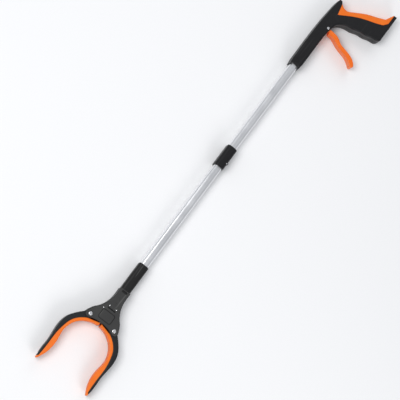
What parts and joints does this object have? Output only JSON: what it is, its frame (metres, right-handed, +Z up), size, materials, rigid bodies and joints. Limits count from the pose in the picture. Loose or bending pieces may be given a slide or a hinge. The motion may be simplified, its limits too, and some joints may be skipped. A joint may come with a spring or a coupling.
{
  "type": "folding reacher grabber",
  "caption": "Folding reacher grabber lying on its side: pistol handle with trigger, two-piece tube with a fold sleeve, cable-drawn jaws lined with soft pads.",
  "frame": {"origin": "on the resting surface, under the tube's axis, in the middle of the fold sleeve", "axes": "+X along the tube towards the handle, -Y towards the trigger side, +Z up from the resting surface; all hinges are parallel to Z"},
  "size_m": [0.8151, 0.1439, 0.0262],
  "materials": {
    "handle_plastic": "fine moulded texture",
    "head_plastic": "satin moulded",
    "soft_orange": "soft, slightly grippy",
    "trigger_orange": "moulded, semi-gloss",
    "tube_aluminium": "satin drawn tube",
    "bright_steel": "bright plated",
    "screw_steel": "zinc plated",
    "cable_steel": "stranded wire",
    "nylon": "natural nylon"
  },
  "bodies": {
    "handle": {"handle_shell_front": "handle_plastic", "handle_shell_back": "handle_plastic", "grip_insert": "soft_orange", "handle_screws": "screw_steel", "trigger_pin": "bright_steel", "guide_pin": "bright_steel", "rear_tube": "tube_aluminium", "fold_housing_rear": "handle_plastic", "fold_pin": "bright_steel"},
    "trigger": {"trigger": "trigger_orange", "cross_barrel": "bright_steel", "cable_tail": "cable_steel"},
    "roller": {"guide_roller": "nylon"},
    "cable_rear": {"cable_rear": "cable_steel"},
    "front": {"fold_housing_front": "handle_plastic", "front_tube": "tube_aluminium", "head_body": "head_plastic", "head_cover": "head_plastic", "head_screws": "screw_steel", "pivot_rivet_left": "bright_steel", "pivot_rivet_right": "bright_steel", "return_spring": "cable_steel"},
    "drawbar": {"crosshead": "nylon", "draw_pin": "bright_steel", "cable_front": "cable_steel"},
    "jaw_left": {"arm_left": "head_plastic", "pad_left": "soft_orange", "tip_magnet": "bright_steel"},
    "jaw_right": {"arm_right": "head_plastic", "pad_right": "soft_orange"}
  },
  "joints": [
    {"name": "fold", "type": "hinge", "parent": "handle", "child": "front", "pos_m": [-0.008, -0.0078, 0.0125], "axis": [0, 0, 1], "range_deg": [0, 150]},
    {"name": "trigger_squeeze", "type": "hinge", "parent": "handle", "child": "trigger", "pos_m": [0.2822, -0.0076, 0.0125], "axis": [0, 0, 1], "range_deg": [0, 26], "stiffness_Nm_per_rad": 0.4},
    {"name": "cable_pull", "type": "slide", "parent": "handle", "child": "cable_rear", "axis": [1, 0, 0], "range_m": [0, 0.01225]},
    {"name": "roller_turn", "type": "hinge", "parent": "handle", "child": "roller", "pos_m": [0.2503, -0.004, 0.0125], "axis": [0, 0, 1], "range_deg": [-176, 0]},
    {"name": "draw", "type": "slide", "parent": "front", "child": "drawbar", "axis": [1, 0, 0], "range_m": [0, 0.01225], "deforming": ["return_spring"]},
    {"name": "jaw_left_swing", "type": "hinge", "parent": "front", "child": "jaw_left", "pos_m": [-0.335, 0.0233, 0.0125], "axis": [0, 0, 1], "range_deg": [0, 25.5]},
    {"name": "jaw_right_swing", "type": "hinge", "parent": "front", "child": "jaw_right", "pos_m": [-0.335, -0.0233, 0.0125], "axis": [0, 0, 1], "range_deg": [-25.5, 0]}
  ],
  "couplings": [
    {"joint": "cable_pull", "follows": "trigger_squeeze", "m_per_rad": 0.0269},
    {"joint": "draw", "follows": "trigger_squeeze", "m_per_rad": 0.0269},
    {"joint": "roller_turn", "follows": "trigger_squeeze", "ratio": -6.725},
    {"joint": "jaw_left_swing", "follows": "trigger_squeeze", "ratio": 0.98077},
    {"joint": "jaw_right_swing", "follows": "trigger_squeeze", "ratio": -0.98077}
  ]
}
